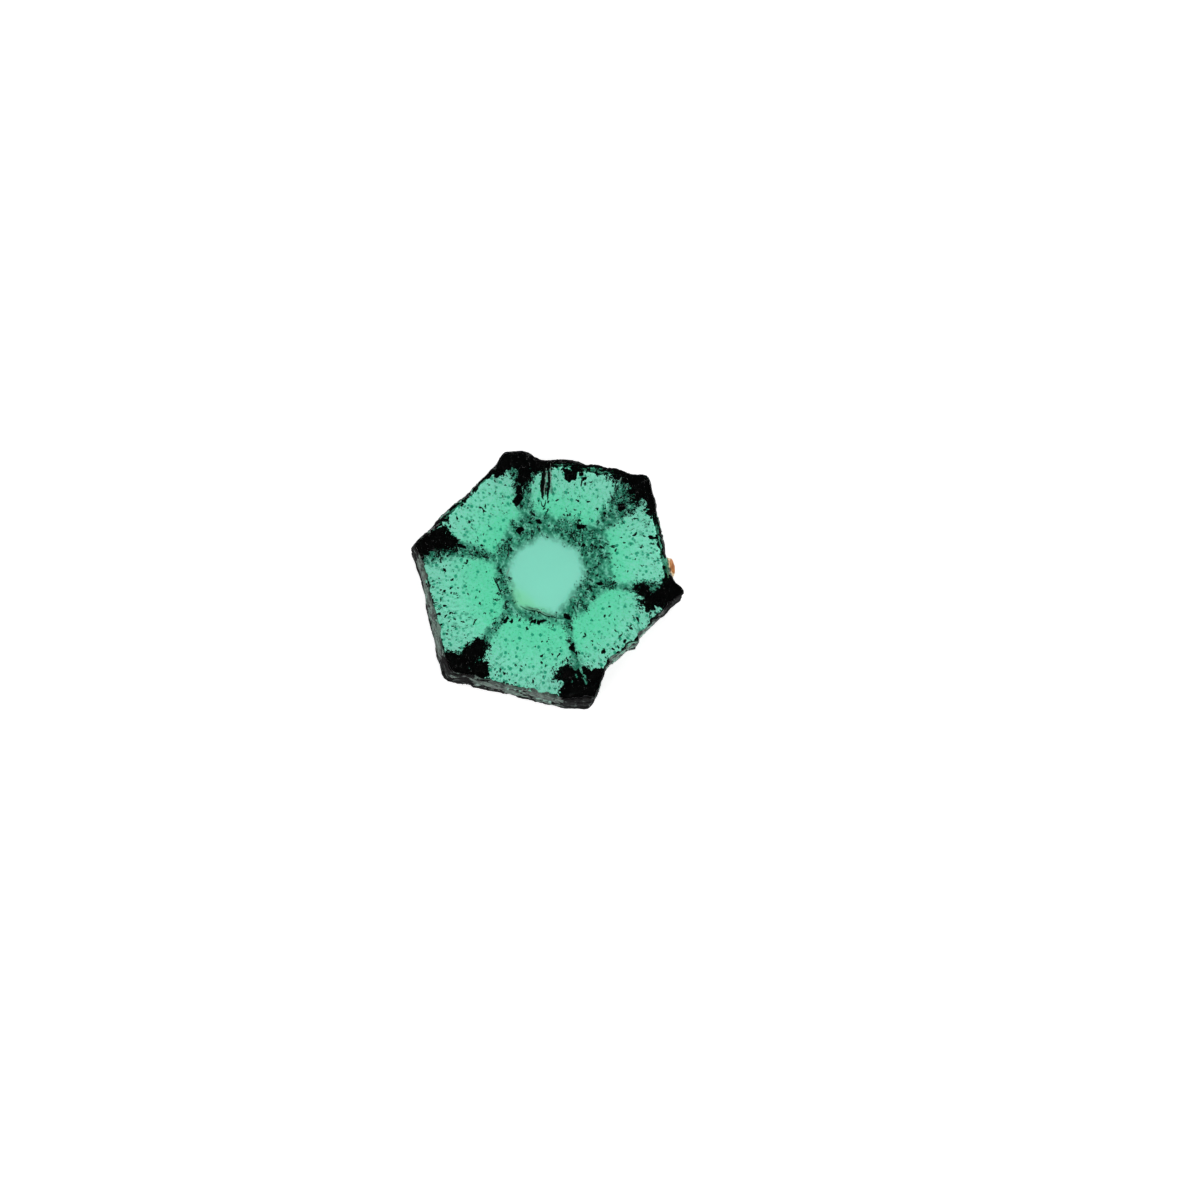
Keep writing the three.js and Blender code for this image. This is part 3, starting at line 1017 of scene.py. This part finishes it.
def growth_place(place):
    """Place told outwards along the crystal's growth, sideways to it, and up."""
    told = [turned_place(place, math.radians(side)) for side in CRUST]
    farthest = reduce(lambda most, each: most.math("MAXIMUM", each), (ahead for ahead, _ in told))
    aside = 0.0
    for ahead, sideways in told:
        aside = ahead.math("COMPARE", farthest, 0.0001) * sideways + aside
    return combined(farthest, aside, place.axis("Z"))


def bubbles(place, stretch, shift, scale=1.0):
    """Small bubbles with a pale side and a dark side, as if lit from one side, for a painted highlight and
    painted shade on them: about 0, from -0.2 to 0.2.
    """
    place = place * stretch
    return place.noise(scale, 2.5, 0.6) - (place + shift).noise(scale, 2.5, 0.6)


def dots(place, spacing, size, often):
    """Soft round spots: 1 in their middles. size is the radius within which they are whole and
    the one where they end, and often the share of places that have one."""
    values = {"Vector": place, "Scale": 1 / spacing}
    distance = place.step("ShaderNodeTexVoronoi", values, "Distance", voronoi_dimensions="2D")
    chance = Field(distance.socket.node.outputs["Color"]).axis("X")
    near = distance.ramp(size[1] / spacing, size[0] / spacing)
    return near * chance.ramp(1 - often, 1.15 - often)


# Tint of one pass through the surface, for each zone of the crystal.
CORE_TINT = (1.0, 0.93, 0.95)
CORE_EDGE_TINT = (0.90, 0.90, 0.72)
INNER_TINT = (0.54, 0.94, 0.76)
OUTER_TINT = (0.98, 1.0, 0.96)
DUSTY_TINT = (0.03, 0.15, 0.11)
DUSTY_PALE_TINT = (0.20, 0.45, 0.35)
DUSTY_SPOT_TINT = (0.02, 0.13, 0.09)
# Painted shade on the dark side of the dashes and cells.
DARK_MOTTLE_SHADE_TINT = (0.06, 0.22, 0.17)
SPOT_TINT = (0.04, 0.40, 0.29)
# Painted highlight on the pale side of the dashes and cells.
PALE_MOTTLE_HIGHLIGHT_TINT = (1.0, 1.0, 0.98)
WALL_TINT = (0.86, 1.0, 0.94)
WALL_DARK_TINT = (0.34, 0.52, 0.44)

ABSORPTION_COLOUR = (0.06, 0.93, 0.74)
ABSORPTION_PER_MM = 1.1
BERYL_IOR = 1.58


def zone_tint(place):
    """The colour of the polished faces, and the distance beyond the nearest arm."""
    upright = place + (place.axis("Z") - THICKNESS / 2).times((*LEAN, 0))
    flat = upright * (1, 1, 0)
    ragged = flat.wander(4.5, 5.0, 0.62, 0.26)

    core = outside_field(CORE_EDGES, ragged).ramp(0.13, -0.14)
    core_tint = ragged.dot((-0.45, -0.89, 0)).ramp(0.45, 0.85).mix(CORE_TINT, CORE_EDGE_TINT)
    ring = outside_field(RING_EDGES, ragged).ramp(0.13, -0.13)
    beyond_arm = reduce(lambda least, each: least.math("MINIMUM", each), arm_fields(ragged))
    dusty = ring.math("MAXIMUM", beyond_arm.ramp(0.09, -0.07))
    dusty = dusty * place.noise(3.6, 5, 0.65).ramp(0.3, 0.55, 0.72, 1.0)
    dusty_tint = upright.noise(5, 6, 0.75).ramp(0.43, 0.58).mix(DUSTY_TINT, DUSTY_PALE_TINT)

    # The sectors are clear green inside and milky towards the wall, with a faint mottle.
    outer = flat.length().ramp(1.3, 2.5)
    milky = outer.math("ADD", upright.noise(8, 5, 0.7).ramp(0.33, 0.67, -0.45, 0.4), use_clamp=True)
    faint = upright.noise(20, 3, 0.6).ramp(0.47, 0.66, 0.0, 0.42)
    colour = faint.mix(milky.mix(INNER_TINT, OUTER_TINT), SPOT_TINT)
    colour = dusty.mix(colour, dusty_tint)

    # Soft spots: a few everywhere, and smaller ones in the dusty zones and near the wall.
    uneven = flat.wander(16.0, 2.0, 0.5, 0.05)
    few = dots(uneven, 0.24, (0.022, 0.050), 0.55)
    many = dots(uneven, 0.125, (0.014, 0.038), 0.6) * (outer * 0.7 + 0.3).math("MAXIMUM", dusty)
    spot_tint = dusty.mix(SPOT_TINT, DUSTY_SPOT_TINT)
    colour = (few.math("MAXIMUM", many) * 0.95).mix(colour, spot_tint)

    # Fine dashes along the growth in the sectors, and small cells in the dusty zones: a real mottle, each
    # dash and cell with a painted highlight on one side and painted shade on the other.
    dashes = bubbles(growth_place(upright), (7, 10, 3), (0.35, 0.35, 0))
    dashes = dashes * (outer * 0.8 + 0.2) * place.noise(1.8, 3).ramp(0.35, 0.65, 0.3, 1.0)
    mottle_and_relief_shade = dashes + bubbles(upright, (1, 1, 0.4), (0.05, 0.04, 0), 7.0) * dusty * 2.5
    # Painted shade on the dark sides and painted highlight on the pale sides of the dashes and cells.
    colour = mottle_and_relief_shade.ramp(-0.03, -0.15, 0.0, 0.6).mix(colour, DARK_MOTTLE_SHADE_TINT)
    colour = mottle_and_relief_shade.ramp(0.02, 0.13, 0.0, 0.5).mix(colour, PALE_MOTTLE_HIGHLIGHT_TINT)
    return core.mix(colour, core_tint), beyond_arm


def emerald():
    """Clear green beryl: its zones show on the polished faces, and its wall is dull."""
    material = Material("emerald")
    place = material.place
    colour, beyond_arm = zone_tint(place)
    level = step(material.tree, "ShaderNodeNewGeometry", {}, "Normal").axis("Z").math("ABSOLUTE")
    polished, natural = level.ramp(0.9, 0.98), level.ramp(0.98, 0.9)

    streaks = place.noise(6, 6, 0.65, stretch=(0.5, 0.5, 1.3))
    blotches = place.noise(11, 5, 0.7)
    wall_tint = (streaks * 0.55 + blotches * 0.45).ramp(0.60, 0.44).mix(WALL_TINT, WALL_DARK_TINT)
    scratches = place.noise(3, 2, 0.5, stretch=(1, 14, 1)).ramp(0.62, 0.8, 0.0, 0.03)
    pits = place.noise(13, 4, 0.7).ramp(0.60, 0.68) * beyond_arm.ramp(0.05, -0.12) * polished
    relief = (streaks + place.noise(26, 5, 0.7) + blotches * 1.5) * natural - pits * 0.2

    absorption = {"Color": ABSORPTION_COLOUR, "Density": ABSORPTION_PER_MM / MM}
    absorption = step(material.tree, "ShaderNodeVolumeAbsorption", absorption)
    plug(material.tree.nodes["Material Output"].inputs["Volume"], absorption)
    return material.finish(
        Base_Color=polished.mix(wall_tint, colour),
        Roughness=streaks.ramp(0.35, 0.7, 0.32, 0.65) * natural + scratches + pits * 0.1,
        IOR=BERYL_IOR,
        Transmission_Weight=1.0,
        Normal=relief.bump(0.012, 0.7),
    )


def black_shale(name, light=1.0, painted_sheen=0.0):
    """Matt carbon-black rock, with a little brown and grey dust, and perhaps pale grey streaks that are a
    painted sheen.
    """
    material = Material(name)
    place = material.place
    black, grey, brown = (
        tuple(light * c for c in colour)
        for colour in ((0.002, 0.002, 0.002), (0.011, 0.010, 0.011), (0.016, 0.009, 0.011))
    )
    colour = place.noise(7, 6, 0.65).ramp(0.48, 0.72).mix(black, grey)
    colour = place.noise(3.1, 4).ramp(0.6, 0.75, 0.0, 0.5).mix(colour, brown)
    # Pale grey streaks mixed into the colour: a painted sheen of glints on the rock.
    streaks = place.noise(6, 4, 0.7, stretch=(0.6, 0.6, 1.6)).ramp(0.56, 0.66, 0.0, painted_sheen)
    grit = place.noise(30, 6, 0.7)
    return material.finish(
        Base_Color=streaks.mix(colour, (0.15, 0.18, 0.17)),
        Roughness=grit.ramp(0.3, 0.7, 0.6, 0.95),
        Specular_IOR_Level=0.06,
        Normal=grit.bump(0.02, 0.8),
    )


def fine_dust(name, darkest, lightest, brown):
    """Grains of one mineral, some of them browner in patches."""
    material = Material(name)
    stained = material.place.noise(2.3, 3).ramp(0.58, 0.7)
    return material.finish(
        Base_Color=stained.mix(material.place.noise(12, 3).mix(darkest, lightest), brown),
        Roughness=0.7,
        Specular_IOR_Level=0.1,
    )


def carbon_dust():
    """The black grains of the arms and corners."""
    return fine_dust("carbon_dust", (0.001, 0.002, 0.002), (0.006, 0.010, 0.008), (0.022, 0.008, 0.008))


def green_dust():
    """The dark green grains of the sectors."""
    return fine_dust("green_dust", (0.001, 0.014, 0.010), (0.008, 0.085, 0.060), (0.012, 0.030, 0.022))


def painted_crack_glints():
    """The air film in an open crack, whose shine is painted as a pale colour: a painted reflection."""
    material = Material("painted_crack_glints")
    return material.finish(
        # A pale colour as the painted reflection of the crack's air film.
        Base_Color=material.place.noise(12, 3).mix((0.62, 0.80, 0.72), (0.86, 0.92, 0.88)),
        Roughness=0.35,
        Transmission_Weight=0.3,
    )


def dull_skin():
    """Weathered beryl: grey-green and milky, with darker and rusty streaks along the slice, dark grit, and
    pale specks that are painted glints.
    """
    material = Material("dull_skin")
    place = material.place
    streaks = place.noise(8, 6, 0.75, stretch=(0.45, 0.45, 1.1))
    blotches = place.noise(9, 5, 0.7, stretch=(1, 1, 0.6))
    streaks = (streaks * 0.5 + blotches * 0.5).ramp(0.45, 0.57)
    colour = streaks.mix((0.008, 0.022, 0.017), (0.17, 0.26, 0.215))
    rust = place.noise(1.7, 5, 0.6, stretch=(1, 1, 2)).ramp(0.58, 0.74, 0.0, 0.5)
    colour = rust.mix(colour, (0.09, 0.075, 0.055))
    grit = place.noise(34, 5, 0.7)
    # Pale specks on the finest grain: painted glints.
    colour = grit.ramp(0.60, 0.70, 0.0, 0.7).mix(colour, (0.52, 0.60, 0.56))
    colour = grit.ramp(0.42, 0.34, 0.0, 0.9).mix(colour, (0.01, 0.014, 0.012))
    return material.finish(
        Base_Color=colour,
        Roughness=streaks.ramp(0.0, 1.0, 0.45, 0.7),
        Specular_IOR_Level=0.2,
        Transmission_Weight=0.25,
        Normal=(streaks + grit).bump(0.012, 0.8),
    )


def rusty_rock():
    """Amber-brown iron stain, with a cream band towards the stone and below that is a painted highlight,
    and painted shade where its top meets the wall.
    """
    material = Material("iron_stained_rock")
    outwards, aside = turned_place(material.place, math.radians(RUST_AT))
    place = combined(outwards, aside, material.place.axis("Z"))
    veins = material.place.noise(9, 5, 0.6)
    grit = material.place.noise(24, 5, 0.65)
    colour = veins.ramp(0.35, 0.65).mix((0.30, 0.085, 0.012), (0.60, 0.24, 0.055))
    # Beyond the orange middle the colour turns cream: a painted highlight band.
    stain_middle = (RUST_FOOT + 0.11, 0.04, RUST_HEIGHT + 0.08)
    stain_halves = (0.12, 0.18, 0.34)
    from_stain = ((place - stain_middle) / stain_halves).length() + veins * 0.4
    colour = from_stain.ramp(1.10, 1.30).mix(colour, (0.84, 0.68, 0.43))
    # A near-black spot where the grain's top meets the wall: painted shade.
    from_shaded_crease = (place - (RUST_FOOT - 0.01, -0.07, RUST_HEIGHT + 0.20)).length()
    colour = from_shaded_crease.ramp(0.07, 0.035, 0.0, 0.9).mix(colour, (0.03, 0.012, 0.006))
    return material.finish(
        Base_Color=colour,
        Roughness=grit.ramp(0.3, 0.7, 0.35, 0.6),
        Specular_IOR_Level=0.2,
        Subsurface_Weight=0.1,
        Subsurface_Scale=0.05 * MM,
        Normal=grit.bump(0.015, 0.6),
    )


# ---------------------------------------------------------------- stage, light and camera
FLOOR_HALF = 600.0
FLOOR_GAP = 0.02
FLOOR_GLOW = 0.62  # the stone lies on a light table


def floor():
    """A plain white table that glows a little."""
    material = Material("white_floor").finish(
        Base_Color=(0.9, 0.9, 0.9),
        Roughness=0.8,
        Specular_IOR_Level=0.1,
        Emission_Color=(1, 1, 1),
        Emission_Strength=FLOOR_GLOW,
    )
    corners = np.array([(-1, -1, 0), (1, -1, 0), (1, 1, 0), (-1, 1, 0)]) * FLOOR_HALF
    add_object("floor", corners - (0, 0, FLOOR_GAP), [(0, 1, 2, 3)], material)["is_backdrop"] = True


# Brightness of the soft sky, by elevation in degrees. It is dark overhead, so that the
# polished face doesn't mirror it into a camera that looks down.
SKY = [(0, 0.45), (8, 0.45), (25, 0.22), (40, 0.9), (61, 0.9), (66, 0.03), (90, 0.02)]

# Soft boxes: direction and elevation in degrees, half width in degrees, and brightness.
SOFT_BOXES = [(228, 14, 34, 2.4), (8, 14, 30, 2.0), (84, 12, 28, 1.6)]


def light():
    """The sky, with the soft boxes added to it."""
    world = bpy.data.worlds.new("studio")
    bpy.context.scene.world = world
    world.use_nodes = True
    towards = step(world.node_tree, "ShaderNodeTexCoord", {}, "Generated")
    total = towards.step("ShaderNodeValToRGB", {0: towards.axis("Z")})
    elements = total.socket.node.color_ramp.elements
    while len(elements) < len(SKY):
        elements.new(0.5)
    for element, (elevation, value) in zip(elements, SKY):
        element.position = math.sin(math.radians(elevation))
        element.color = (value,) * 3 + (1,)
    for direction, elevation, half, value in SOFT_BOXES:
        a, e = math.radians(direction), math.radians(elevation)
        middle = (math.cos(a) * math.cos(e), math.sin(a) * math.cos(e), math.sin(e))
        edge, full = (math.cos(math.radians(half * share)) for share in (1, 0.4))
        total = total + towards.dot(middle).ramp(edge, full, 0.0, value)
    plug(world.node_tree.nodes["Background"].inputs["Color"], total)


AZIMUTH, ELEVATION, ROLL = -16.5, 77, 30
DISTANCE = 150.0
FRAME_WIDTH = 26.67  # across the picture, at the stone
AIM_RIGHT, AIM_DOWN = 1.20, 0.49  # from the stone's middle to the middle of the picture


def camera():
    """A long lens that looks almost straight down, turned as the photo's is."""
    a, e = math.radians(AZIMUTH), math.radians(ELEVATION)
    back = Vector((math.sin(a) * math.cos(e), -math.cos(a) * math.cos(e), math.sin(e)))
    turn = (-back).to_track_quat("-Z", "Y") @ Quaternion((0, 0, 1), math.radians(ROLL))
    right, up = turn @ Vector((1, 0, 0)), turn @ Vector((0, 1, 0))
    aim = Vector((LOW + HIGH) / 2) + right * AIM_RIGHT - up * AIM_DOWN
    data = bpy.data.cameras.new("camera")
    data.sensor_width = 36
    data.lens = data.sensor_width * DISTANCE / FRAME_WIDTH
    data.clip_start, data.clip_end = 0.01, 2
    item = bpy.data.objects.new("camera", data)
    item.rotation_mode = "QUATERNION"
    item.rotation_quaternion = turn
    item.location = (aim + back * DISTANCE) * MM
    bpy.context.scene.collection.objects.link(item)
    bpy.context.scene.camera = item


# ---------------------------------------------------------------- the scene
def build():
    """Makes every piece, then the stage, the light and the camera."""
    shale, dust = black_shale("black_shale"), carbon_dust()
    # The crust's rock carries the painted sheen of pale streaks.
    rock = black_shale("wall_crust", 1.2, painted_sheen=0.8)
    crystal_body(emerald())
    inclusions(shale, dust, green_dust())
    cracks("healed_cracks", CRACKS, dust)
    cracks("open_cracks", PALE_CRACKS, painted_crack_glints())
    frosted_skin(dull_skin())
    wall_grit(crust(rock), rock)
    iron_grain(rusty_rock())
    floor()
    light()
    camera()
    bpy.context.scene.view_settings.view_transform = "Standard"


build()
sizes = {"cad": CAD_BOX, "visual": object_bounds()}
{key: [list(corner) for corner in box] for key, box in sizes.items()}
